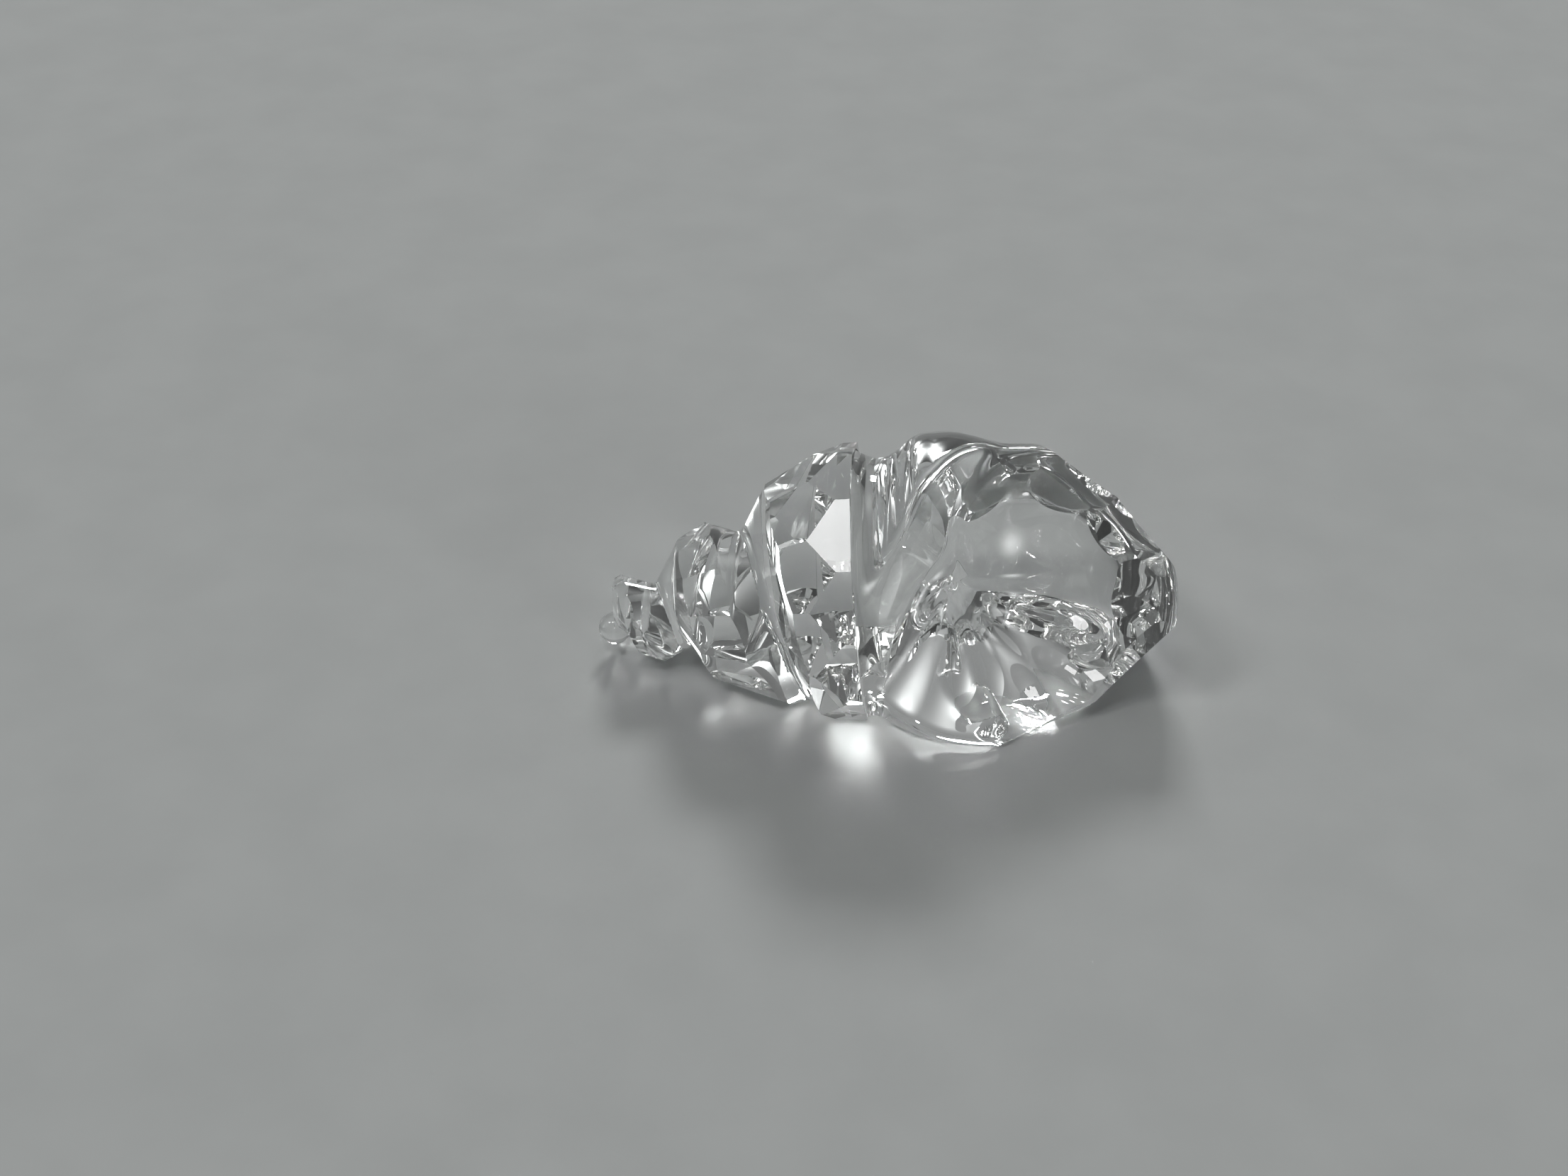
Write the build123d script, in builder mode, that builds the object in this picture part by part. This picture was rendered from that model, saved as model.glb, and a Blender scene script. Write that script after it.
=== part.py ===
"""Cut crystal snail shell, lying on its ground underside, spire to -X, mouth towards -Y and up.

Two ground crystals are bonded on a flat seam: the spire, a twelve sided cone with a spiral suture
groove, and the body whorl with its fluted mouth. A thin film of clear adhesive fills the seam.
"""
import os
from math import cos, radians, sin, sqrt, tan

from build123d import *

# Pose of the shell on the table, in mm and degrees
seam_height = 7.2  # centre of the seam above the table
body_rise = 6.0  # rise of the body axis towards the mouth
body_turn = 1.5  # turn of the body axis towards the back
spire_lean = 6.5  # how much more the spire's middle line rises than the body axis
spire_swing = 1.5  # how much less it turns towards the back

# Spire
facet_count = 12
girdle_radius = 11.0  # corner radius of the girdle, the widest band of the spire
girdle_width = 1.1
cone_half_angle = 24.9  # half angle of the cone that the facets touch
spire_length = 19.8  # from the seam to the blunt end
kite_length = 2.2  # length of the small facets above the girdle
facet_phase = 4.0  # turn of the facets from straight up towards the front

# Suture groove, a spiral that keeps its angle as it grows
groove_growth = 1.778  # growth of the distance to the cone's apex per turn
groove_anchor = 9.05  # that distance one turn after the start
groove_phase = -37.0  # angle of the start, from straight up towards the front
groove_depth = 2.3
groove_lower_width = 2.6  # gentle side, towards the tip
groove_upper_width = 1.9  # steep side, towards the mouth
groove_floor = 0.5  # width of the rounded bottom
groove_start = 0.12  # turns
groove_turns = 2.65
groove_runout = 0.3  # turns over which the cutter lifts out before its end
groove_thin_turns = 0.9  # turns over which it deepens after its start
groove_thin_share = 0.4  # its share of the full section at the start
groove_overcut = 1.25  # the cutter is taller than the groove by this factor
sections_per_turn = 24

# Bulb that closes the tip
bulb_radius = 1.3
bulb_back = 0.2  # beyond the blunt end of the spire
bulb_drop = 1.05  # below the spire's middle line
bulb_front = 0.6  # in front of it

# Bond
bond_thickness = 0.08
bond_setback = 0.25  # gap between the film's edge and the edge of the neck

# Neck between the girdle and the body whorl, and the shoulder where the lip starts
neck_radius = 10.4
waist_radius = 9.6
waist_place = 1.7  # from the seam
shoulder_start = 3.8
shoulder_start_radius = 10.7
shoulder_top = 6.2
shoulder_radius = 11.35
shoulder_end = 11.2
shoulder_end_radius = 9.5
neck_steps = 5  # straight steps that follow each curve of the neck and shoulder

# Body whorl, a cylinder with round ends that lies across the mouth
belly_place = 10.7  # from the seam along X
belly_back = 0.1  # behind the body axis
belly_height = 6.3  # above the table
belly_long = 13.6  # half length across the mouth
belly_round = 12.0  # half width
mouth_turn = 5.0  # the mouth faces this far to the right of the front
mouth_rise = 40.0  # and this far up
mouth_offset = 4.4  # from the middle of the whorl to the plane of the mouth

# Flats ground on the body whorl, in rows: angle from its back pole, first and last turn around the pole
flat_row_angles = (
    (25.0, -120.0, 180.0),
    (68.0, -105.0, 105.0),
    (92.0, -66.0, -46.0),
    (92.0, 38.0, 56.0),
)
flat_row_counts = (6, 7, 2, 2)
flat_row_depths = (0.5, 0.6, 2.4, 1.6)

# Mouth, measured across to the right and up from its middle
wide_cut_across = 12.5  # middle of the wide round cut that opens the mouth
wide_cut_up = 1.0
wide_cut_radius = 17.0
side_cut_across = 2.5  # middle of the smaller cut at the lower left
side_cut_up = -5.0
side_cut_radius = 10.5
cut_spread = 30.0  # how far the walls of both cuts lean outward
bowl_curve = 10.15  # radius of the round scoop
bowl_depth = 4.5
bowl_shift = 4.2  # towards the lip
bowl_straight = 2.6  # half length of the straight middle of the scoop

# Flutes that fan out from a root at the inner lip
flute_root_across = -3.9
flute_root_up = 0.8
flute_angles = (-8.0, -31.0, -53.0, -74.0, -95.0, -117.0)  # from the right, downward
flute_lengths = (18.0, 17.5, 15.5, 13.3, 12.4, 11.3)
flute_depth = 0.8  # below the bowl, halfway along
flute_spread = 0.2  # growth of the half width with the distance from the root
flute_root_width = 0.3  # half width at the root
flute_steps = 8
# Section of a flute: places in half widths from its middle, and heights in half widths
flute_section = ((-1.6, 1.1), (-1.0, 0.45), (-0.45, 0.1), (0.45, 0.1), (1.0, 0.45), (1.6, 1.1))

seam_centre = Vector(0, 0, seam_height)
front_axis = Vector(sin(radians(body_turn)), -cos(radians(body_turn)), 0)
level_axis = Vector(cos(radians(body_turn)), sin(radians(body_turn)), 0)
body_axis = level_axis * cos(radians(body_rise)) + Vector(0, 0, sin(radians(body_rise)))
up_axis = Vector(0, 0, cos(radians(body_rise))) - level_axis * sin(radians(body_rise))
cone_slope = tan(radians(cone_half_angle))
flat_share = cos(radians(180 / facet_count))
cone_corner_radius = girdle_radius / flat_share
apex_distance = cone_corner_radius / cone_slope + girdle_width


def station_centre(place):
    """Centre of the section at this place along the body axis, zero at the seam."""
    along = min(place + girdle_width, 0)
    lean = up_axis * tan(radians(spire_lean)) + front_axis * tan(radians(spire_swing))
    return seam_centre + body_axis * place + lean * along


def station(place):
    """Plane of that section: local x is up and local y is the front."""
    return Plane(origin=station_centre(place), x_dir=up_axis, z_dir=body_axis)


def around(place, radius, angle):
    """Point at this radius and angle from straight up towards the front, in degrees."""
    outward = up_axis * cos(radians(angle)) + front_axis * sin(radians(angle))
    return station_centre(place) + outward * radius


def cone_radius(place):
    """Corner radius of the faceted cone at this place."""
    return (apex_distance + place) * cone_slope


def groove_share(turn):
    """Share of the full groove section after so many turns."""
    grown = min((turn - groove_start) / groove_thin_turns, 1)
    return groove_thin_share + (1 - groove_thin_share) * grown


def groove_lift(turn):
    """How far the cutter has lifted out of the cone after so many turns."""
    lifted = max(turn - groove_turns + groove_runout, 0) / groove_runout
    return lifted * groove_depth * groove_overcut


def groove_plane(turn):
    """Plane across the groove: local x runs towards the mouth and local y outward."""
    place = groove_anchor * groove_growth ** (turn - 1) - apex_distance
    angle = groove_phase + 360 * turn
    bottom = flat_share * cone_radius(place) - groove_depth * groove_share(turn) + groove_lift(turn)
    outward = up_axis * cos(radians(angle)) + front_axis * sin(radians(angle))
    return Plane(origin=around(place, bottom, angle), x_dir=body_axis, z_dir=body_axis.cross(outward))


# Spiral groove as a cutter, a little taller than the groove is deep
lower_height = groove_depth - groove_lower_width * cone_slope
upper_height = groove_depth + groove_upper_width * cone_slope
with BuildPart() as groove:
    for step in range(int((groove_turns - groove_start) * sections_per_turn) + 1):
        turn_now = groove_start + step / sections_per_turn
        share = groove_share(turn_now)
        with BuildSketch(groove_plane(turn_now)):
            with BuildLine():
                Polyline(
                    (-groove_overcut * groove_lower_width * share, groove_overcut * lower_height * share),
                    (-groove_floor * share, groove_floor * lower_height / groove_lower_width * share),
                    (0, 0),
                    (groove_floor * share / 2, groove_floor * share / 2),
                    (groove_overcut * groove_upper_width * share, groove_overcut * upper_height * share),
                    close=True,
                )
            make_face()
    loft(ruled=True)

# Spire: faceted cone, small facets above the girdle, girdle, groove, bulb and ground underside
facet_angle = 360 / facet_count
with BuildPart() as spire:
    with BuildSketch(station(-spire_length)):
        RegularPolygon(cone_radius(-spire_length), facet_count, rotation=facet_phase)
    with BuildSketch(station(-girdle_width)):
        RegularPolygon(cone_corner_radius, facet_count, rotation=facet_phase)
    loft(ruled=True)
    kite_place = -girdle_width - kite_length
    for number in range(facet_count):
        corner = facet_phase + number * facet_angle
        point = around(kite_place, cone_radius(kite_place), corner)
        near = around(-girdle_width, girdle_radius, corner - facet_angle / 2)
        far = around(-girdle_width, girdle_radius, corner + facet_angle / 2)
        outward = (point - near).cross(far - near)
        split(bisect_by=Plane(origin=point, x_dir=far - near, z_dir=outward), keep=Keep.BOTTOM)
    with BuildSketch(station(-girdle_width)):
        RegularPolygon(girdle_radius, facet_count, rotation=facet_phase + facet_angle / 2)
    extrude(amount=girdle_width)
    add(groove.part, mode=Mode.SUBTRACT)
    bulb_place = station_centre(-spire_length - bulb_back)
    with Locations(bulb_place + front_axis * bulb_front - up_axis * bulb_drop):
        Sphere(bulb_radius, rotation=(0, 0, 180))
    split(bisect_by=Plane.XY, keep=Keep.TOP)

# Film of clear adhesive in the seam
with BuildPart() as bond:
    with BuildSketch(station(0)):
        Circle(neck_radius - bond_setback)
    extrude(amount=bond_thickness)
    split(bisect_by=Plane.XY, keep=Keep.TOP)

# Directions of the mouth: out of it, across it to the right, and up along it
mouth_out = Vector(
    sin(radians(mouth_turn)) * cos(radians(mouth_rise)),
    -cos(radians(mouth_turn)) * cos(radians(mouth_rise)),
    sin(radians(mouth_rise)),
)
mouth_across = Vector(cos(radians(mouth_turn)), sin(radians(mouth_turn)), 0)
mouth_up = mouth_out.cross(mouth_across)
belly_centre = Vector(belly_place, belly_back, belly_height)
belly_straight = belly_long - belly_round
mouth_centre = belly_centre + mouth_out * mouth_offset


def mouth_point(across, up, depth):
    """Point of the mouth at these distances from its middle, depth going into the shell."""
    return mouth_centre + mouth_across * across + mouth_up * up - mouth_out * depth


def belly_reach(direction):
    """Distance from the whorl's middle to the plane that touches it in this direction."""
    return belly_round + belly_straight * abs(direction.dot(mouth_across))


ball_rise = bowl_curve - bowl_depth
bowl_middle = mouth_point(bowl_shift, 0, -ball_rise)


def bowl_floor(across, up):
    """Depth of the bowl at these distances from the middle of the mouth."""
    beside = max(abs(up) - bowl_straight, 0)
    return sqrt(max(bowl_curve**2 - (across - bowl_shift) ** 2 - beside**2, ball_rise**2)) - ball_rise


# Flutes as cutters: straight from above, and sunk below the floor of the bowl
flute_cutters = []
for angle, length in zip(flute_angles, flute_lengths):
    run = mouth_across * cos(radians(angle)) + mouth_up * sin(radians(angle))
    with BuildPart() as flute:
        for step in range(flute_steps + 1):
            share = step / flute_steps
            across = flute_root_across + length * share * cos(radians(angle))
            up = flute_root_up + length * share * sin(radians(angle))
            bottom = mouth_point(across, up, bowl_floor(across, up) + 4 * flute_depth * share * (1 - share))
            half_width = flute_root_width + flute_spread * length * share
            with BuildSketch(Plane(origin=bottom, x_dir=mouth_out.cross(run), z_dir=run)):
                with BuildLine():
                    corners = [(place * half_width, rise * half_width) for place, rise in flute_section]
                    Polyline(*corners, close=True)
                make_face()
        loft(ruled=True)
    flute_cutters.append(flute.part)

# Curves of the neck and shoulder along the body axis
neck_curve = ThreePointArc(
    (bond_thickness, neck_radius), (waist_place, waist_radius), (shoulder_start, shoulder_start_radius)
)
shoulder_curve = ThreePointArc(
    neck_curve @ 1, (shoulder_top, shoulder_radius), (shoulder_end, shoulder_end_radius)
)

# Body whorl: neck and belly, mouth, ground underside and flats, bowl and flutes
with BuildPart() as body:
    with BuildSketch(Plane(origin=belly_centre, x_dir=mouth_across, z_dir=-mouth_up)):
        with BuildLine():
            right_end = CenterArc((belly_straight, 0), belly_round, 0, 90)
            left_end = CenterArc((-belly_straight, 0), belly_round, 90, 90)
            Line(right_end @ 1, left_end @ 0)
            Line(left_end @ 1, right_end @ 0)
        make_face()
    revolve(axis=Axis(belly_centre, mouth_across))
    with BuildSketch(Plane(origin=seam_centre, x_dir=body_axis, z_dir=-front_axis)):
        with BuildLine():
            Polyline(
                (-girdle_width, 0),
                (-girdle_width, neck_radius),
                *[neck_curve @ (step / neck_steps) for step in range(neck_steps)],
                *[shoulder_curve @ (step / neck_steps) for step in range(neck_steps + 1)],
                (shoulder_end, 0),
                close=True,
            )
        make_face()
    revolve(axis=Axis(seam_centre, body_axis))
    split(bisect_by=station(bond_thickness), keep=Keep.TOP)
    for across, up, radius in (
        (wide_cut_across, wide_cut_up, wide_cut_radius),
        (side_cut_across, side_cut_up, side_cut_radius),
    ):
        with Locations(Plane(origin=mouth_point(across, up, 0), x_dir=mouth_across, z_dir=mouth_out)):
            Cone(
                radius,
                radius + 2 * belly_round * tan(radians(cut_spread)),
                2 * belly_round,
                align=(Align.CENTER, Align.CENTER, Align.MIN),
                mode=Mode.SUBTRACT,
            )
    split(bisect_by=Plane.XY, keep=Keep.TOP)
    for (polar, first, last), count, depth in zip(flat_row_angles, flat_row_counts, flat_row_depths):
        for number in range(count):
            turned = radians(first + (last - first) * number / (count - 1))
            sideways = mouth_across * cos(turned) + mouth_up * sin(turned)
            outward = sideways * sin(radians(polar)) - mouth_out * cos(radians(polar))
            touch = belly_centre + outward * (belly_reach(outward) - depth)
            split(bisect_by=Plane(origin=touch, z_dir=outward), keep=Keep.BOTTOM)
    with BuildSketch(Plane(origin=bowl_middle, x_dir=mouth_up, z_dir=mouth_across)):
        with BuildLine():
            top_end = CenterArc((bowl_straight, 0), bowl_curve, 0, 90)
            low_end = CenterArc((-bowl_straight, 0), bowl_curve, 90, 90)
            Line(top_end @ 1, low_end @ 0)
            Line(low_end @ 1, top_end @ 0)
        make_face()
    revolve(axis=Axis(bowl_middle, mouth_up), mode=Mode.SUBTRACT)
    for flute_cutter in flute_cutters:
        add(flute_cutter, mode=Mode.SUBTRACT)

spire.part.label = "spire_crystal"
body.part.label = "body_crystal"
bond.part.label = "bond_film"

os.makedirs("parts", exist_ok=True)
export_step(spire.part, "parts/spire_crystal.step")
export_step(body.part, "parts/body_crystal.step")
export_step(bond.part, "parts/bond_film.step")
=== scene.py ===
"""Dress the cut crystal snail shell: two clear crystals, their bond, a grey sweep and soft light.

Each crystal is a smooth field, meshed as a fine net, and then ground flat on its planes. The net keeps
the normals of its field, so that the polished hollows bend light smoothly and the ground flats stay
crisp. Sizes are in millimetres, as on the maker's drawing, and are scaled when a mesh is made.
"""

import logging
import math
from dataclasses import dataclass
from enum import Enum
from typing import Callable

import bmesh
import bpy
import numpy as np
from mathutils import Matrix, Vector


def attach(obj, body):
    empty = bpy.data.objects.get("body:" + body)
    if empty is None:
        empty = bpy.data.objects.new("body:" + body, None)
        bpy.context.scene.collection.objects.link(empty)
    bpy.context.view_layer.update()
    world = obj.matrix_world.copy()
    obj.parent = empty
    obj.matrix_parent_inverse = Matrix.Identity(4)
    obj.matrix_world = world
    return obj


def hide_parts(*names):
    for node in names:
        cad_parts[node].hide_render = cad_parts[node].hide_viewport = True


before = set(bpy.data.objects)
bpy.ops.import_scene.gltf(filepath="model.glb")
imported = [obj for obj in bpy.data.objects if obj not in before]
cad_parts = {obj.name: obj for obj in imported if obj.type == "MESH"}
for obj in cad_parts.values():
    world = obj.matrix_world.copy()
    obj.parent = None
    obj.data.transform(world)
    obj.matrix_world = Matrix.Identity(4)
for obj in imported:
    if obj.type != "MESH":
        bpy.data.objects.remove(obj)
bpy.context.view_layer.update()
MM = 0.001
LOG = logging.getLogger("snail_shell")
DEEP_INSIDE = -9.0
TINY = 1e-9
DOWN = np.array([0.0, 0.0, -1.0])


class Slot(Enum):
    """Names of the crystal and adhesive slots of the part's record."""

    CRYSTAL = "crystal"
    ADHESIVE = "adhesive"


class Face(Enum):
    """Material slot of a face of a crystal."""

    POLISHED = 0
    BONDED = 1


def direction(azimuth: float, elevation: float) -> np.ndarray:
    """Unit vector that points from the front towards the right by azimuth and up by elevation.

    Args:
        azimuth: Degrees from the front, -Y, towards +X.
        elevation: Degrees above the table.

    Returns:
        The unit vector.
    """
    turn = math.radians(azimuth)
    rise = math.radians(elevation)
    return np.array([math.sin(turn) * math.cos(rise), -math.cos(turn) * math.cos(rise), math.sin(rise)])


def soft_max(first: np.ndarray, second: np.ndarray, blend: float) -> np.ndarray:
    """Larger of two fields, rounded where they meet.

    Args:
        first: One field.
        second: The other field.
        blend: Width of the rounding in mm.

    Returns:
        The rounded maximum.
    """
    near = np.maximum(blend - np.abs(first - second), 0.0) / blend
    return np.maximum(first, second) + near * near * blend * 0.25


def soft_min(first: np.ndarray, second: np.ndarray, blend: float) -> np.ndarray:
    """Smaller of two fields, rounded where they meet."""
    return -soft_max(-first, -second, blend)


def add_object(name: str, data: bpy.types.ID) -> bpy.types.Object:
    """Put an object with the given data in the scene.

    Args:
        name: Name of the object.
        data: Its mesh, light or camera.

    Returns:
        The object.
    """
    made = bpy.data.objects.new(name, data)
    bpy.context.scene.collection.objects.link(made)
    return made


def turn_out(face: bmesh.types.BMFace, outward: Vector) -> None:
    """Make a face a flat one that looks outward.

    Args:
        face: The face.
        outward: Direction that it has to look in.
    """
    face.smooth = False
    face.normal_update()
    if face.normal.dot(outward) < 0.0:
        face.normal_flip()


@dataclass(frozen=True)
class Pose:
    """How the shell lies on the table, shared by all its pieces."""

    seam_height: float = 7.2
    body_rise: float = 6.0
    body_turn: float = 1.5
    spire_lean: float = 6.5
    spire_swing: float = 1.5
    girdle_width: float = 1.1

    @property
    def seam_centre(self) -> np.ndarray:
        """Centre of the bonded seam."""
        return np.array([0.0, 0.0, self.seam_height])

    @property
    def level(self) -> np.ndarray:
        """Level direction from the spire to the mouth end."""
        turn = math.radians(self.body_turn)
        return np.array([math.cos(turn), math.sin(turn), 0.0])

    @property
    def axis(self) -> np.ndarray:
        """Axis of the body, from the seam to the mouth end."""
        rise = math.radians(self.body_rise)
        return self.level * math.cos(rise) + np.array([0.0, 0.0, math.sin(rise)])

    @property
    def high(self) -> np.ndarray:
        """Upward direction across the axis."""
        rise = math.radians(self.body_rise)
        return np.array([0.0, 0.0, math.cos(rise)]) - self.level * math.sin(rise)

    @property
    def front(self) -> np.ndarray:
        """Level direction across the axis, towards the front."""
        turn = math.radians(self.body_turn)
        return np.array([math.sin(turn), -math.cos(turn), 0.0])

    def lean_at(self, place: np.ndarray | float) -> tuple[np.ndarray | float, np.ndarray | float]:
        """Shift of the spire's middle line up and to the front at a place along the axis."""
        along = np.minimum(place + self.girdle_width, 0.0)
        return along * math.tan(math.radians(self.spire_lean)), along * math.tan(math.radians(self.spire_swing))

    def around(self, place: float, radius: float, angle: float) -> np.ndarray:
        """Point of a section of the shell.

        Args:
            place: Along the body axis, from the seam.
            radius: From the leaning axis.
            angle: Degrees from straight up towards the front.

        Returns:
            The point in mm.
        """
        turn = math.radians(angle)
        rise, swing = self.lean_at(place)
        centre = self.seam_centre + self.axis * place + self.high * rise + self.front * swing
        return centre + (self.high * math.cos(turn) + self.front * math.sin(turn)) * radius


@dataclass(frozen=True)
class GroundPlane:
    """A flat ground on a crystal: what lies beyond the point along the outward direction is gone."""

    point: np.ndarray
    outward: np.ndarray


class GroundCrystal:
    """A crystal with polished curved surfaces from a field, ground flat on planes."""

    name: str = ""
    net_step: float = 0.18
    eased_width: float = 0.07
    eased_angle: float = 0.08
    eased_least: float = 4.0
    cut_tolerance: float = 1e-5
    settle_rounds: int = 3
    settle_share: float = 0.5
    least_slope: float = 0.05

    def __init__(self, pose: Pose) -> None:
        """Keep the pose that the crystal shares with its neighbour."""
        self.pose = pose

    def field(self, points: np.ndarray) -> np.ndarray:
        """Signed distance to the polished surface, below zero inside."""
        raise NotImplementedError

    def grounds(self) -> list[GroundPlane]:
        """Planes that the crystal is ground on, in order."""
        raise NotImplementedError

    def extent(self) -> tuple[np.ndarray, np.ndarray]:
        """Lowest and highest corner of the room that the field needs."""
        raise NotImplementedError

    def surface(self, points: np.ndarray) -> np.ndarray:
        """Field that the finished surface takes its normals from."""
        return self.field(points)

    @staticmethod
    def slope(field: Callable[[np.ndarray], np.ndarray], points: np.ndarray) -> np.ndarray:
        """Gradient of a field by central differences.

        Args:
            field: The field.
            points: Where it is wanted.

        Returns:
            One gradient for each point.
        """
        reach = 0.02
        columns = []
        for axis in range(3):
            shift = np.zeros(3)
            shift[axis] = reach
            columns.append((field(points + shift) - field(points - shift)) / (2.0 * reach))
        return np.stack(columns, axis=1)

    def net(self) -> tuple[np.ndarray, np.ndarray]:
        """Mesh the zero level of the field as a net of quads.

        Returns:
            The points in mm and the quads that join them.
        """
        low, high = self.extent()
        counts = np.ceil((high - low) / self.net_step).astype(int) + 1
        axes = [low[i] + self.net_step * np.arange(counts[i]) for i in range(3)]
        values = np.empty(counts)
        for row, x in enumerate(axes[0]):
            y, z = np.meshgrid(axes[1], axes[2], indexing="ij")
            layer = np.stack([np.full(y.size, x), y.ravel(), z.ravel()], axis=1)
            values[row] = self.field(layer).reshape(y.shape)
        inside = values < 0.0
        offsets = [(i, j, k) for i in (0, 1) for j in (0, 1) for k in (0, 1)]
        cells = counts - 1
        filled = np.zeros(cells, np.int8)
        for i, j, k in offsets:
            filled += inside[i:i + cells[0], j:j + cells[1], k:k + cells[2]]
        active = (filled > 0) & (filled < len(offsets))
        index = np.full(cells, -1)
        index[active] = np.arange(active.sum())
        corner = np.argwhere(active)
        total = np.zeros((len(corner), 3))
        crossings = np.zeros(len(corner))
        for start in offsets:
            for axis in range(3):
                if start[axis]:
                    continue
                end = tuple(1 if i == axis else start[i] for i in range(3))
                first = values[tuple((corner + start).T)]
                second = values[tuple((corner + end).T)]
                crosses = (first < 0.0) != (second < 0.0)
                share = np.where(crosses, first / np.where(crosses, first - second, 1.0), 0.0)
                spot = np.array(start) + share[:, None] * (np.array(end) - np.array(start))
                total += np.where(crosses[:, None], spot, 0.0)
                crossings += crosses
        points = low + self.net_step * (corner + total / crossings[:, None])
        quads = []
        for axis in range(3):
            side, other = [i for i in range(3) if i != axis]
            ends = [slice(None)] * 3
            starts = [slice(None)] * 3
            starts[axis] = slice(None, -1)
            ends[axis] = slice(1, None)
            change = inside[tuple(starts)].astype(np.int8) - inside[tuple(ends)].astype(np.int8)
            edge = np.argwhere(change != 0)
            edge = edge[(edge[:, side] > 0) & (edge[:, other] > 0)]
            edge = edge[(edge[:, side] < cells[side]) & (edge[:, other] < cells[other])]
            ring = []
            for back_side, back_other in ((0, 0), (1, 0), (1, 1), (0, 1)):
                cell = edge.copy()
                cell[:, side] -= back_side
                cell[:, other] -= back_other
                ring.append(index[tuple(cell.T)])
            quad = np.stack(ring, axis=1)
            outward = change[tuple(edge.T)] * (1 if axis != 1 else -1)
            quads.append(np.where(outward[:, None] > 0, quad, quad[:, ::-1]))
        for _ in range(self.settle_rounds):
            gradient = self.slope(self.field, points)
            steep = np.maximum((gradient ** 2).sum(axis=1), self.least_slope)
            move = -self.field(points)[:, None] * gradient / steep[:, None]
            length = np.linalg.norm(move, axis=1, keepdims=True)
            longest = self.settle_share * self.net_step
            points = points + move * np.minimum(1.0, longest / np.maximum(length, TINY))
        return points, np.concatenate(quads)

    def grind(self, bm: bmesh.types.BMesh, plane: GroundPlane) -> list[bmesh.types.BMFace]:
        """Cut the crystal flat on a plane and close the cut.

        Args:
            bm: The crystal's mesh in mm.
            plane: Where it is ground.

        Returns:
            The flat faces that the cut left.
        """
        outward = Vector(plane.outward).normalized()
        everything = list(bm.verts) + list(bm.edges) + list(bm.faces)
        bmesh.ops.bisect_plane(
            bm,
            geom=everything,
            dist=self.cut_tolerance,
            plane_co=Vector(plane.point),
            plane_no=outward,
            clear_outer=True,
        )
        rim = [edge for edge in bm.edges if len(edge.link_faces) == 1]
        flats = bmesh.ops.edgeloop_fill(bm, edges=rim, mat_nr=Face.POLISHED.value)["faces"]
        for flat in flats:
            turn_out(flat, outward)
        return flats

    def ease_edges(self, bm: bmesh.types.BMesh) -> None:
        """Take the sharpness off the edges where two ground flats meet.

        Args:
            bm: The crystal's mesh in mm.
        """
        sharp = []
        for edge in bm.edges:
            if len(edge.link_faces) != 2 or any(face.smooth for face in edge.link_faces):
                continue
            long_enough = edge.calc_length() > self.eased_least * self.eased_width
            if edge.calc_face_angle() > self.eased_angle and long_enough:
                sharp.append(edge)
        bmesh.ops.bevel(bm, geom=sharp, offset=self.eased_width, segments=1, affect="EDGES", clamp_overlap=True)

    def finish_cuts(self, bm: bmesh.types.BMesh) -> None:
        """Last work on the ground mesh before its faces are dressed."""

    def build(self, finishes: list[bpy.types.Material]) -> bpy.types.Object:
        """Make the crystal as an object in the frame.

        Args:
            finishes: Materials in the order of the face slots.

        Returns:
            The object, with the normals of the field on its polished faces.
        """
        points, quads = self.net()
        mesh = bpy.data.meshes.new(self.name)
        mesh.from_pydata(points.tolist(), [], quads.tolist())
        bm = bmesh.new()
        bm.from_mesh(mesh)
        for face in bm.faces:
            face.smooth = True
        for plane in self.grounds():
            self.grind(bm, plane)
        self.ease_edges(bm)
        self.finish_cuts(bm)
        loose = [vert for vert in bm.verts if not vert.link_faces]
        bmesh.ops.delete(bm, geom=loose, context="VERTS")
        bm.to_mesh(mesh)
        bm.free()
        self.set_normals(mesh)
        mesh.transform(Matrix.Scale(MM, 4))
        for finish in finishes:
            mesh.materials.append(finish)
        return add_object(self.name, mesh)

    def set_normals(self, mesh: bpy.types.Mesh) -> None:
        """Give polished faces the normals of the field, and leave the flats their own.

        Args:
            mesh: The crystal's mesh in mm.
        """
        spots = np.empty(len(mesh.vertices) * 3)
        mesh.vertices.foreach_get("co", spots)
        gradient = self.slope(self.surface, spots.reshape(-1, 3))
        gradient /= np.maximum(np.linalg.norm(gradient, axis=1, keepdims=True), TINY)
        polished = np.zeros(len(mesh.polygons), bool)
        mesh.polygons.foreach_get("use_smooth", polished)
        totals = np.empty(len(mesh.polygons), int)
        mesh.polygons.foreach_get("loop_total", totals)
        corner_vertex = np.empty(len(mesh.loops), int)
        mesh.loops.foreach_get("vertex_index", corner_vertex)
        polished_corner = np.repeat(polished, totals)
        normals = np.where(polished_corner[:, None], gradient[corner_vertex], 0.0)
        mesh.normals_split_custom_set(normals.tolist())


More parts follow.
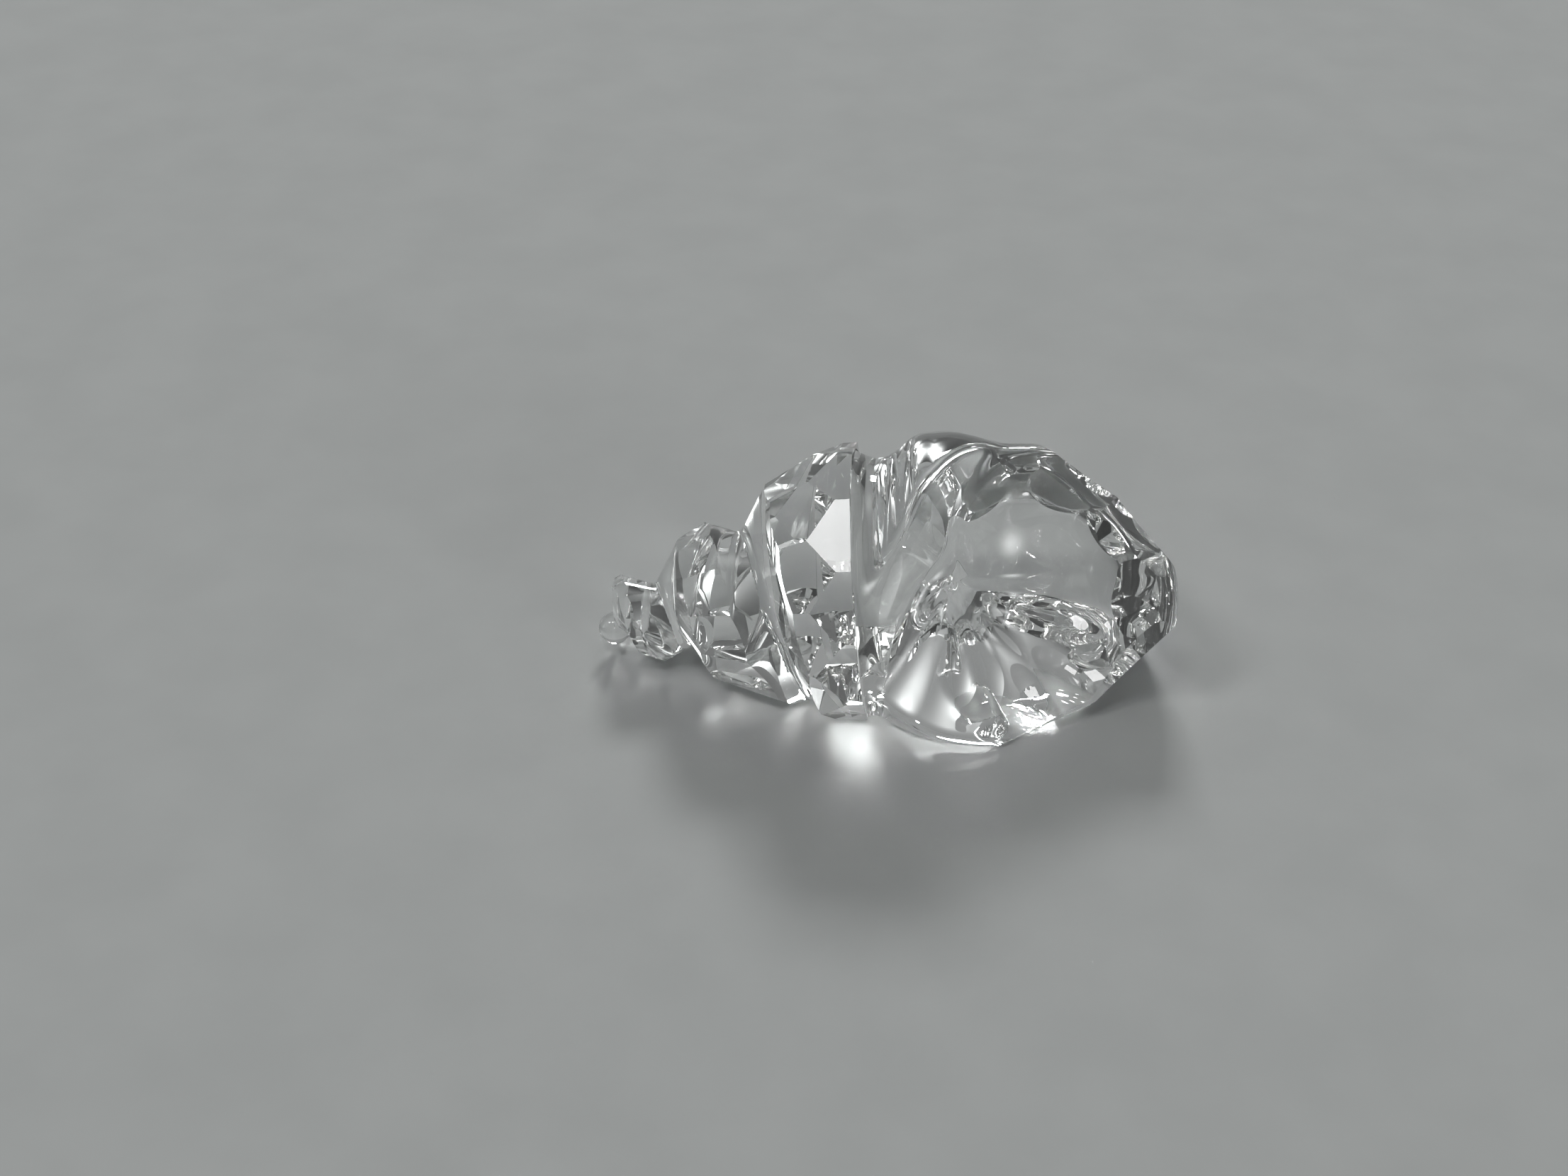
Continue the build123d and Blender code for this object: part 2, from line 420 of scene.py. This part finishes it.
@dataclass
class SpireSizes:
    """Sizes of the faceted spire and its suture groove."""

    facet_count: int = 12
    girdle_radius: float = 11.0
    cone_half_angle: float = 24.9
    spire_length: float = 19.8
    kite_length: float = 2.2
    facet_phase: float = 4.0
    groove_growth: float = 1.778
    groove_anchor: float = 9.05
    groove_phase: float = -37.0
    groove_depth: float = 2.3
    groove_lower_width: float = 2.6
    groove_upper_width: float = 1.9
    groove_floor: float = 0.9
    groove_start: float = 0.12
    groove_turns: float = 2.65
    groove_runout: float = 0.3
    groove_thin_turns: float = 0.9
    groove_thin_share: float = 0.4
    groove_lift: float = 1.25
    tip_round: float = 1.2
    bulb_radius: float = 1.3
    bulb_back: float = 0.2
    bulb_drop: float = 1.05
    bulb_front: float = 0.6
    bulb_rings: int = 40
    bulb_sides: int = 64
    neck_radius: float = 10.4
    neck_sides: int = 128


class SpireCrystal(GroundCrystal):
    """Twelve sided spire with a spiral suture groove and a bulb at its tip."""

    name = "spire_dressed"
    spare: float = 0.7
    past_seam: float = 1.0
    room_side: float = 0.5
    room_back: float = 1.5
    room_below: float = 1.0
    room_ahead: float = 2.5
    cone_scale: float = 0.9
    groove_scale: float = 0.6

    def __init__(self, pose: Pose, sizes: SpireSizes) -> None:
        """Keep the sizes and work out the cone.

        Args:
            pose: How the shell lies.
            sizes: Sizes of the spire.
        """
        super().__init__(pose)
        self.sizes = sizes
        self.cone_slope = math.tan(math.radians(sizes.cone_half_angle))
        self.flat_share = math.cos(math.pi / sizes.facet_count)
        self.corner_radius = sizes.girdle_radius / self.flat_share
        self.apex_distance = self.corner_radius / self.cone_slope + pose.girdle_width

    def cone_radius(self, place: np.ndarray | float) -> np.ndarray | float:
        """Corner radius of the faceted cone at a place along the axis."""
        return (self.apex_distance + place) * self.cone_slope

    def extent(self) -> tuple[np.ndarray, np.ndarray]:
        """Lowest and highest corner of the room that the field needs."""
        reach = self.corner_radius + self.spare + self.room_side
        back = -self.sizes.spire_length - self.room_back
        low = np.array([back, -reach, -self.room_below])
        return low, np.array([self.room_ahead, reach, self.pose.seam_height + reach])

    def field(self, points: np.ndarray) -> np.ndarray:
        """Signed distance to the groove and the rounded tip, with spare crystal for the facets."""
        sizes = self.sizes
        local = points - self.pose.seam_centre
        place = local @ self.pose.axis
        rise, swing = self.pose.lean_at(place)
        high = local @ self.pose.high - rise
        front = local @ self.pose.front - swing
        radius = np.hypot(high, front)
        angle = np.degrees(np.arctan2(front, high))
        blank = (radius - np.maximum(self.cone_radius(place), 0.0) - self.spare) * self.cone_scale
        solid = np.maximum(blank, place - self.past_seam)
        solid = soft_max(solid, -sizes.spire_length - place, sizes.tip_round)
        first = (angle - sizes.groove_phase) / 360.0
        first = first - np.floor(first - sizes.groove_start)
        lower = (sizes.groove_depth - sizes.groove_lower_width * self.cone_slope) / sizes.groove_lower_width
        upper = (sizes.groove_depth + sizes.groove_upper_width * self.cone_slope) / sizes.groove_upper_width
        for whole in range(int(math.ceil(sizes.groove_turns))):
            turn = first + whole
            grown = np.clip((turn - sizes.groove_start) / sizes.groove_thin_turns, 0.0, 1.0)
            share = sizes.groove_thin_share + (1.0 - sizes.groove_thin_share) * grown
            lifted = np.maximum(turn - sizes.groove_turns + sizes.groove_runout, 0.0) / sizes.groove_runout
            centre = sizes.groove_anchor * sizes.groove_growth ** (turn - 1.0) - self.apex_distance
            depth = sizes.groove_depth * (share - sizes.groove_lift * lifted)
            bottom = self.flat_share * self.cone_radius(centre) - depth
            along = (place - centre) / share
            side = soft_max(-lower * along, upper * along, sizes.groove_floor)
            air = ((radius - bottom) / share - side) * share * self.groove_scale
            solid = np.maximum(solid, np.where(turn > sizes.groove_turns, DEEP_INSIDE, air))
        return solid

    def grounds(self) -> list[GroundPlane]:
        """Facets of the cone, kite facets above the girdle, and flats of the girdle."""
        sizes = self.sizes
        pose = self.pose
        step = 360.0 / sizes.facet_count
        girdle = -pose.girdle_width
        kite = girdle - sizes.kite_length
        end = -sizes.spire_length
        planes = []
        for number in range(sizes.facet_count):
            corner = sizes.facet_phase + number * step
            tip = pose.around(end, self.cone_radius(end), corner)
            tip_next = pose.around(end, self.cone_radius(end), corner + step)
            base = pose.around(girdle, self.corner_radius, corner)
            planes.append(self.facing_out(base, np.cross(tip_next - tip, base - tip)))
            point = pose.around(kite, self.cone_radius(kite), corner)
            near = pose.around(girdle, sizes.girdle_radius, corner - step / 2.0)
            far = pose.around(girdle, sizes.girdle_radius, corner + step / 2.0)
            planes.append(self.facing_out(point, np.cross(point - near, far - near)))
            planes.append(self.facing_out(near, np.cross(pose.axis, far - near)))
        return planes

    def facing_out(self, point: np.ndarray, normal: np.ndarray) -> GroundPlane:
        """Plane through a point of the spire's side, turned away from the middle of the spire."""
        middle = self.pose.around(-self.pose.girdle_width, 0.0, 0.0)
        return GroundPlane(point, normal if normal @ (point - middle) > 0.0 else -normal)

    def finish_cuts(self, bm: bmesh.types.BMesh) -> None:
        """Grind the seam, part its bonded disc from the girdle's step, add the bulb, and grind the base."""
        pose = self.pose
        ahead = Vector(pose.axis)
        seam = self.grind(bm, GroundPlane(pose.seam_centre, pose.axis))
        rim = list({edge for face in seam for edge in face.edges})
        bmesh.ops.delete(bm, geom=seam, context="FACES_ONLY")
        ring = []
        for number in range(self.sizes.neck_sides):
            angle = 360.0 * number / self.sizes.neck_sides
            ring.append(bm.verts.new(Vector(pose.around(0.0, self.sizes.neck_radius, angle))))
        hoop = [bm.edges.new((ring[i], ring[i - 1])) for i in range(len(ring))]
        step_faces = bmesh.ops.triangle_fill(bm, edges=rim + hoop, use_beauty=True, normal=ahead)
        for face in [item for item in step_faces["geom"] if isinstance(item, bmesh.types.BMFace)]:
            turn_out(face, ahead)
        disc = bm.faces.new(ring)
        turn_out(disc, ahead)
        disc.material_index = Face.BONDED.value
        self.add_bulb(bm)
        self.grind(bm, GroundPlane(np.zeros(3), DOWN))

    def bulb_centre(self) -> np.ndarray:
        """Middle of the bulb at the tip."""
        sizes = self.sizes
        centre = self.pose.around(-sizes.spire_length - sizes.bulb_back, 0.0, 0.0)
        return centre - self.pose.high * sizes.bulb_drop + self.pose.front * sizes.bulb_front

    def surface(self, points: np.ndarray) -> np.ndarray:
        """Field of the spire with its bulb."""
        bulb = np.linalg.norm(points - self.bulb_centre(), axis=1) - self.sizes.bulb_radius
        return np.minimum(self.field(points), bulb)

    def add_bulb(self, bm: bmesh.types.BMesh) -> None:
        """Join the bulb to the tip.

        Args:
            bm: The spire's mesh in mm, joined in place.
        """
        ball = bmesh.new()
        sizes = self.sizes
        bmesh.ops.create_uvsphere(
            ball, u_segments=sizes.bulb_sides, v_segments=sizes.bulb_rings, radius=sizes.bulb_radius
        )
        bmesh.ops.translate(ball, verts=ball.verts, vec=Vector(self.bulb_centre()))
        for face in ball.faces:
            face.smooth = True
        pair = []
        for part in (bm, ball):
            mesh = bpy.data.meshes.new("joining")
            part.to_mesh(mesh)
            pair.append(add_object("joining", mesh))
        ball.free()
        union = pair[0].modifiers.new("union", "BOOLEAN")
        union.operation = "UNION"
        union.solver = "EXACT"
        union.object = pair[1]
        joined = pair[0].evaluated_get(bpy.context.evaluated_depsgraph_get())
        bm.clear()
        bm.from_mesh(joined.to_mesh())
        joined.to_mesh_clear()
        for holder in pair:
            mesh = holder.data
            bpy.data.objects.remove(holder)
            bpy.data.meshes.remove(mesh)


@dataclass
class BodySizes:
    """Sizes of the body whorl and its mouth."""

    bond_thickness: float = 0.08
    neck_places: tuple[float, ...] = (-1.1, 0.08, 1.7, 3.8, 6.2, 11.2)
    neck_radii: tuple[float, ...] = (11.2, 10.4, 9.6, 10.65, 11.35, 9.5)
    neck_slopes: tuple[float, ...] = (-0.6, -0.95, -0.05, 0.95, 0.07, -0.9)
    neck_blend: float = 1.0
    neck_end_blend: float = 1.0
    belly_place: float = 10.7
    belly_back: float = 0.1
    belly_height: float = 6.3
    belly_long: float = 13.6
    belly_round: float = 12.0
    mouth_turn: float = 5.0
    mouth_rise: float = 40.0
    mouth_offset: float = 4.4
    cuts: tuple[tuple[float, float, float], ...] = ((12.5, 1.0, 17.0), (2.5, -5.0, 10.5))
    cut_spread: float = 30.0
    cut_blend: float = 0.8
    bowl_curve: float = 10.15
    bowl_depth: float = 4.5
    bowl_shift: float = 4.2
    bowl_straight: float = 2.6
    lip_blend: float = 0.8
    root_across: float = -3.9
    root_up: float = 0.8
    flutes: tuple[tuple[float, float], ...] = (
        (-8.0, 18.0), (-31.0, 17.5), (-53.0, 15.5), (-74.0, 13.3), (-95.0, 12.4), (-117.0, 11.3)
    )
    flute_depth: float = 0.8
    flute_spread: float = 0.2
    flute_root_width: float = 0.3
    flute_blend: float = 0.45
    flute_floor: float = 0.1
    flute_bend: float = 0.36
    flute_top: float = 1.1
    flats: tuple[tuple[float, float, float, int, float], ...] = (
        (25.0, -120.0, 180.0, 6, 0.5),
        (68.0, -105.0, 105.0, 7, 0.6),
        (92.0, -66.0, -46.0, 2, 2.4),
        (92.0, 38.0, 56.0, 2, 1.6),
    )


class BodyCrystal(GroundCrystal):
    """Body whorl with a neck, a rolled shoulder and a fluted open mouth."""

    name = "body_dressed"
    room_below: float = 1.2
    room_ahead: float = 1.0
    room_top: float = 21.0
    neck_scale: float = 0.8
    flute_scale: float = 0.8

    def __init__(self, pose: Pose, sizes: BodySizes) -> None:
        """Keep the sizes and work out the directions of the mouth.

        Args:
            pose: How the shell lies.
            sizes: Sizes of the body whorl.
        """
        super().__init__(pose)
        self.sizes = sizes
        self.out = direction(sizes.mouth_turn, sizes.mouth_rise)
        turn = math.radians(sizes.mouth_turn)
        self.across = np.array([math.cos(turn), math.sin(turn), 0.0])
        self.up = np.cross(self.out, self.across)
        self.belly_centre = np.array([sizes.belly_place, sizes.belly_back, sizes.belly_height])

    def extent(self) -> tuple[np.ndarray, np.ndarray]:
        """Lowest and highest corner of the room that the field needs."""
        reach = self.sizes.belly_long
        ahead = self.sizes.belly_place + reach + self.room_ahead
        low = np.array([-self.room_below, -reach, -self.room_below])
        return low, np.array([ahead, reach, self.room_top])

    def neck_radius(self, place: np.ndarray) -> np.ndarray:
        """Radius of the neck and shoulder along the axis, a smooth curve through its stations."""
        sizes = self.sizes
        radius = np.full(place.shape, sizes.neck_radii[-1])
        stations = list(zip(sizes.neck_places, sizes.neck_radii, sizes.neck_slopes))
        for (start, first, rise), (end, last, fall) in zip(stations, stations[1:]):
            span = end - start
            share = np.clip((place - start) / span, 0.0, 1.0)
            curve = (
                (2 * share ** 3 - 3 * share ** 2 + 1) * first
                + (share ** 3 - 2 * share ** 2 + share) * span * rise
                + (3 * share ** 2 - 2 * share ** 3) * last
                + (share ** 3 - share ** 2) * span * fall
            )
            radius = np.where((place >= start) & (place < end), curve, radius)
        return np.where(place < sizes.neck_places[0], sizes.neck_radii[0], radius)

    def bowl_floor(self, across: np.ndarray, up: np.ndarray) -> np.ndarray:
        """Height of the bowl's floor over the plane of the mouth, zero outside it."""
        sizes = self.sizes
        rise = sizes.bowl_curve - sizes.bowl_depth
        beside = np.maximum(np.abs(up) - sizes.bowl_straight, 0.0)
        inside = sizes.bowl_curve ** 2 - (across - sizes.bowl_shift) ** 2 - beside ** 2
        return rise - np.sqrt(np.maximum(inside, rise * rise))

    def mouth(self, across: np.ndarray, up: np.ndarray, over: np.ndarray) -> np.ndarray:
        """Field of what the mouth takes away, above zero where crystal is gone.

        Args:
            across: Distance to the right of the middle of the mouth.
            up: Distance up along the mouth.
            over: Height over the plane of the mouth.

        Returns:
            The field of cuts, bowl and flutes together.
        """
        sizes = self.sizes
        beside = up - np.clip(up, -sizes.bowl_straight, sizes.bowl_straight)
        above = over - (sizes.bowl_curve - sizes.bowl_depth)
        gone = sizes.bowl_curve - np.sqrt((across - sizes.bowl_shift) ** 2 + beside ** 2 + above ** 2)
        spread = math.radians(sizes.cut_spread)
        for middle_across, middle_up, radius in sizes.cuts:
            wall = radius + over * math.tan(spread) - np.hypot(across - middle_across, up - middle_up)
            cut = soft_min(wall * math.cos(spread), over, sizes.cut_blend)
            gone = soft_max(gone, cut, sizes.cut_blend)
        for angle, length in sizes.flutes:
            turn = math.radians(angle)
            along = (across - sizes.root_across) * math.cos(turn) + (up - sizes.root_up) * math.sin(turn)
            aside = (up - sizes.root_up) * math.cos(turn) - (across - sizes.root_across) * math.sin(turn)
            share = np.clip(along / length, 0.0, 1.0)
            reach = share * length
            floor_across = sizes.root_across + reach * math.cos(turn)
            floor_up = sizes.root_up + reach * math.sin(turn)
            floor = self.bowl_floor(floor_across, floor_up)
            floor = floor - 4.0 * sizes.flute_depth * share * (1.0 - share)
            width = sizes.flute_root_width + sizes.flute_spread * reach
            rise = over - floor
            trough = width * (sizes.flute_floor + sizes.flute_bend * (aside / width) ** 2)
            scoop = np.minimum(rise - trough, sizes.flute_top * width - rise) * self.flute_scale
            scoop = np.where((along > 0.0) & (along < length), scoop, DEEP_INSIDE)
            gone = soft_max(gone, scoop, sizes.flute_blend)
        return gone

    def field(self, points: np.ndarray) -> np.ndarray:
        """Signed distance to the polished surface of the body whorl."""
        sizes = self.sizes
        local = points - self.belly_centre
        across = local @ self.across
        up = local @ self.up
        out = local @ self.out
        straight = sizes.belly_long - sizes.belly_round
        beyond = across - np.clip(across, -straight, straight)
        belly = np.sqrt(beyond ** 2 + up ** 2 + out ** 2) - sizes.belly_round
        seam = points - self.pose.seam_centre
        place = seam @ self.pose.axis
        radius = np.hypot(seam @ self.pose.high, seam @ self.pose.front)
        neck = (radius - self.neck_radius(place)) * self.neck_scale
        neck = soft_max(neck, place - sizes.neck_places[-1], sizes.neck_end_blend)
        solid = soft_min(belly, neck, sizes.neck_blend)
        return soft_max(solid, self.mouth(across, up, out - sizes.mouth_offset), sizes.lip_blend)

    def way(self, polar: float, turn: float) -> np.ndarray:
        """Direction from the middle of the whorl.

        Args:
            polar: Degrees from the back pole.
            turn: Degrees around the pole, from the right upward.

        Returns:
            The unit vector.
        """
        side = self.across * math.cos(math.radians(turn)) + self.up * math.sin(math.radians(turn))
        return side * math.sin(math.radians(polar)) - self.out * math.cos(math.radians(polar))

    def reach(self, way: np.ndarray) -> float:
        """Distance from the middle of the whorl to the plane that touches it in a direction."""
        straight = self.sizes.belly_long - self.sizes.belly_round
        return self.sizes.belly_round + straight * abs(float(way @ self.across))

    def grounds(self) -> list[GroundPlane]:
        """Rows of flats on the back and the rim."""
        sizes = self.sizes
        planes = []
        for polar, first, last, count, depth in sizes.flats:
            for number in range(count):
                way = self.way(polar, first + (last - first) * number / (count - 1))
                planes.append(GroundPlane(self.belly_centre + way * (self.reach(way) - depth), way))
        return planes

    def finish_cuts(self, bm: bmesh.types.BMesh) -> None:
        """Grind the seam's bonded face and the base."""
        start = self.pose.seam_centre + self.pose.axis * self.sizes.bond_thickness
        for face in self.grind(bm, GroundPlane(start, -self.pose.axis)):
            face.material_index = Face.BONDED.value
        self.grind(bm, GroundPlane(np.zeros(3), DOWN))


@dataclass
class BondFilm:
    """Film of clear adhesive in the seam."""

    pose: Pose
    radius: float = 10.15
    thickness: float = 0.08
    sides: int = 128

    def build(self, finish: bpy.types.Material) -> bpy.types.Object:
        """Make the film as a thin disc, cut off at the table.

        Args:
            finish: Material of the film.

        Returns:
            The object.
        """
        bm = bmesh.new()
        rings = []
        for place in (0.0, self.thickness):
            shift = self.pose.axis * place
            ring = []
            for number in range(self.sides):
                spot = self.pose.around(0.0, self.radius, 360.0 * number / self.sides) + shift
                ring.append(bm.verts.new(Vector(spot * MM)))
            rings.append(ring)
        for i in range(self.sides):
            bm.faces.new((rings[0][i - 1], rings[0][i], rings[1][i], rings[1][i - 1]))
        bm.faces.new(rings[0])
        bm.faces.new(rings[1])
        everything = list(bm.verts) + list(bm.edges) + list(bm.faces)
        bmesh.ops.bisect_plane(
            bm, geom=everything, plane_co=(0, 0, 0), plane_no=Vector(DOWN), clear_outer=True
        )
        bmesh.ops.edgeloop_fill(bm, edges=[edge for edge in bm.edges if len(edge.link_faces) == 1])
        bmesh.ops.recalc_face_normals(bm, faces=bm.faces)
        mesh = bpy.data.meshes.new("bond_dressed")
        bm.to_mesh(mesh)
        bm.free()
        mesh.materials.append(finish)
        return add_object("bond_dressed", mesh)


@dataclass(frozen=True)
class ClearFinish:
    """A clear polished finish with faint polishing haze."""

    name: str
    tint: tuple[float, float, float]
    ior: float
    haze_scale: float
    haze_low: float
    haze_high: float
    haze_detail: float = 4.0
    haze_from: float = 0.45
    haze_to: float = 0.75

    def make(self) -> bpy.types.Material:
        """Make the material.

        Returns:
            A Principled material whose roughness follows a faint haze.
        """
        material = bpy.data.materials.new(self.name)
        material.use_nodes = True
        nodes = material.node_tree.nodes
        links = material.node_tree.links
        shader = nodes["Principled BSDF"]
        shader.inputs["Base Color"].default_value = (*self.tint, 1.0)
        shader.inputs["IOR"].default_value = self.ior
        shader.inputs["Transmission Weight"].default_value = 1.0
        place = nodes.new("ShaderNodeTexCoord")
        haze = nodes.new("ShaderNodeTexNoise")
        haze.inputs["Scale"].default_value = self.haze_scale
        haze.inputs["Detail"].default_value = self.haze_detail
        spread = nodes.new("ShaderNodeMapRange")
        spread.inputs["From Min"].default_value = self.haze_from
        spread.inputs["From Max"].default_value = self.haze_to
        spread.inputs["To Min"].default_value = self.haze_low
        spread.inputs["To Max"].default_value = self.haze_high
        links.new(place.outputs["Object"], haze.inputs["Vector"])
        links.new(haze.outputs["Fac"], spread.inputs["Value"])
        links.new(spread.outputs["Result"], shader.inputs["Roughness"])
        return material


@dataclass(frozen=True)
class PaperFinish:
    """Grey paper of the sweep, with a faint grain."""

    name: str
    dark: tuple[float, float, float]
    light: tuple[float, float, float]
    grain_scale: float
    grain_detail: float = 6.0
    grain_from: float = 0.35
    grain_to: float = 0.65
    roughness: float = 0.9
    specular: float = 0.1

    def make(self) -> bpy.types.Material:
        """Make the material.

        Returns:
            A rough Principled material with a mottled colour.
        """
        material = bpy.data.materials.new(self.name)
        material.use_nodes = True
        nodes = material.node_tree.nodes
        links = material.node_tree.links
        shader = nodes["Principled BSDF"]
        shader.inputs["Roughness"].default_value = self.roughness
        shader.inputs["Specular IOR Level"].default_value = self.specular
        grain = nodes.new("ShaderNodeTexNoise")
        grain.inputs["Scale"].default_value = self.grain_scale
        grain.inputs["Detail"].default_value = self.grain_detail
        ramp = nodes.new("ShaderNodeValToRGB")
        ramp.color_ramp.elements[0].color = (*self.dark, 1.0)
        ramp.color_ramp.elements[0].position = self.grain_from
        ramp.color_ramp.elements[1].color = (*self.light, 1.0)
        ramp.color_ramp.elements[1].position = self.grain_to
        place = nodes.new("ShaderNodeTexCoord")
        links.new(place.outputs["Object"], grain.inputs["Vector"])
        links.new(grain.outputs["Fac"], ramp.inputs["Fac"])
        links.new(ramp.outputs["Color"], shader.inputs["Base Color"])
        return material


CRYSTAL = ClearFinish("polished_crystal", (0.985, 0.992, 0.99), 1.54, 900.0, 0.0, 0.012)
BONDED = ClearFinish("bonded_seam", (1.0, 1.0, 1.0), 1.0, 900.0, 0.0, 0.002)
ADHESIVE = ClearFinish("clear_adhesive", (0.995, 0.995, 0.99), 1.0, 1400.0, 0.0, 0.004)
PAPER = PaperFinish("grey_paper", (0.325, 0.334, 0.331), (0.340, 0.349, 0.346), 120.0)


@dataclass(frozen=True)
class SoftLight:
    """A soft box over the table."""

    name: str
    azimuth: float
    elevation: float
    distance: float
    width: float
    height: float
    power: float

    def place(self) -> bpy.types.Object:
        """Put the light in the scene, turned towards the shell.

        Returns:
            The light's object.
        """
        lamp = bpy.data.lights.new(self.name, "AREA")
        lamp.shape = "RECTANGLE"
        lamp.size = self.width
        lamp.size_y = self.height
        lamp.energy = self.power
        light = add_object(self.name, lamp)
        way = Vector(direction(self.azimuth, self.elevation))
        light.location = way * self.distance
        light.rotation_euler = way.to_track_quat("Z", "Y").to_euler()
        return light


@dataclass(frozen=True)
class Glow:
    """A soft bright patch on the studio's walls."""

    azimuth: float
    elevation: float
    sharpness: float
    strength: float


LIGHTS = (
    SoftLight("left_box", -73.0, 54.0, 4.8, 1.12, 1.12, 45.0),
    SoftLight("top_box", -38.0, 72.6, 4.8, 0.96, 0.96, 32.0),
    SoftLight("back_box", 182.0, 33.0, 4.8, 1.2, 0.8, 148.0),
)
GLOWS = (
    Glow(180.0, 25.0, 2.0, 0.26),
    Glow(152.0, 62.0, 120.0, 2.4),
    Glow(52.0, 16.0, 160.0, 8.0),
)


@dataclass
class Studio:
    """Grey sweep, soft boxes, surrounding light and camera."""

    pose: Pose
    azimuth: float = 5.0
    elevation: float = 37.0
    distance: float = 176.66
    pan_right: float = 6.13
    pan_up: float = 0.4125
    view_angle: float = 38.0
    floor_side: float = 14.0
    floor_gap: float = 0.15
    wall_level: float = 0.04
    wall_tint: tuple[float, float, float] = (0.975, 1.0, 0.995)
    lens_nearest: float = 0.005
    clear_bounces: int = 32
    mirror_bounces: int = 16
    caustic_blur: float = 0.05

    def build(self) -> bpy.types.Object:
        """Put the stage, lights and camera in the scene.

        Returns:
            The floor.
        """
        scene = bpy.context.scene
        scene.view_settings.view_transform = "Standard"
        scene.cycles.max_bounces = self.clear_bounces
        scene.cycles.transmission_bounces = self.clear_bounces
        scene.cycles.glossy_bounces = self.mirror_bounces
        scene.cycles.blur_glossy = self.caustic_blur
        scene.cycles.sample_clamp_indirect = 0.0
        self.add_world()
        self.add_camera()
        for light in LIGHTS:
            light.place()
        return self.add_floor()

    def add_floor(self) -> bpy.types.Object:
        """Lay the paper under the shell, with a sliver of air under the ground base."""
        half = self.floor_side / 2.0
        low = -self.floor_gap * MM
        mesh = bpy.data.meshes.new("floor")
        corners = [(-half, -half, low), (half, -half, low), (half, half, low), (-half, half, low)]
        mesh.from_pydata(corners, [], [(0, 1, 2, 3)])
        mesh.materials.append(PAPER.make())
        floor = add_object("floor", mesh)
        return floor

    def add_world(self) -> None:
        """Surround the table with dim walls and their soft glows."""
        world = bpy.data.worlds.new("studio")
        bpy.context.scene.world = world
        world.use_nodes = True
        nodes = world.node_tree.nodes
        links = world.node_tree.links
        place = nodes.new("ShaderNodeTexCoord")
        total = None
        for glow in GLOWS:
            facing = nodes.new("ShaderNodeVectorMath")
            facing.operation = "DOT_PRODUCT"
            facing.inputs[1].default_value = direction(glow.azimuth, glow.elevation)
            share = nodes.new("ShaderNodeMapRange")
            share.inputs["From Min"].default_value = -1.0
            falloff = nodes.new("ShaderNodeMath")
            falloff.operation = "POWER"
            falloff.inputs[1].default_value = glow.sharpness
            added = nodes.new("ShaderNodeMath")
            added.operation = "MULTIPLY_ADD"
            added.inputs[1].default_value = glow.strength
            links.new(place.outputs["Generated"], facing.inputs[0])
            links.new(facing.outputs["Value"], share.inputs["Value"])
            links.new(share.outputs["Result"], falloff.inputs[0])
            links.new(falloff.outputs["Value"], added.inputs[0])
            if total is None:
                added.inputs[2].default_value = self.wall_level
            else:
                links.new(total, added.inputs[2])
            total = added.outputs["Value"]
        nodes["Background"].inputs["Color"].default_value = (*self.wall_tint, 1.0)
        links.new(total, nodes["Background"].inputs["Strength"])

    def add_camera(self) -> bpy.types.Object:
        """Stand the camera where the photograph was taken from."""
        to_camera = direction(self.azimuth, self.elevation)
        turn = math.radians(self.azimuth)
        right = np.array([math.cos(turn), math.sin(turn), 0.0])
        up = np.cross(to_camera, right)
        spot = self.pose.seam_centre + to_camera * self.distance - right * self.pan_right - up * self.pan_up
        lens = bpy.data.cameras.new("camera")
        lens.angle = math.radians(self.view_angle)
        lens.clip_start = self.lens_nearest
        camera = add_object("camera", lens)
        turned = Matrix((right, up, to_camera)).transposed().to_4x4()
        camera.matrix_world = Matrix.Translation(Vector(spot * MM)) @ turned
        bpy.context.scene.camera = camera
        return camera


def dress(piece: bpy.types.Object, node: str) -> None:
    """Let a piece stand for a node of the part.

    Args:
        piece: The dressed piece.
        node: The node that it stands for.
    """
    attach(piece, "root")
    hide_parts(node)
    LOG.info("%s stands for %s with %d faces", piece.name, node, len(piece.data.polygons))


def main() -> None:
    """Build the crystals, their bond and the studio."""
    logging.basicConfig(level=logging.INFO, format="%(message)s")
    pose = Pose()
    crystal = CRYSTAL.make()
    bonded = BONDED.make()
    dress(SpireCrystal(pose, SpireSizes()).build([crystal, bonded]), "spire_crystal")
    dress(BodyCrystal(pose, BodySizes()).build([crystal, bonded]), "body_crystal")
    dress(BondFilm(pose).build(ADHESIVE.make()), "bond_film")
    Studio(pose).build()


if __name__ == "__main__":
    main()
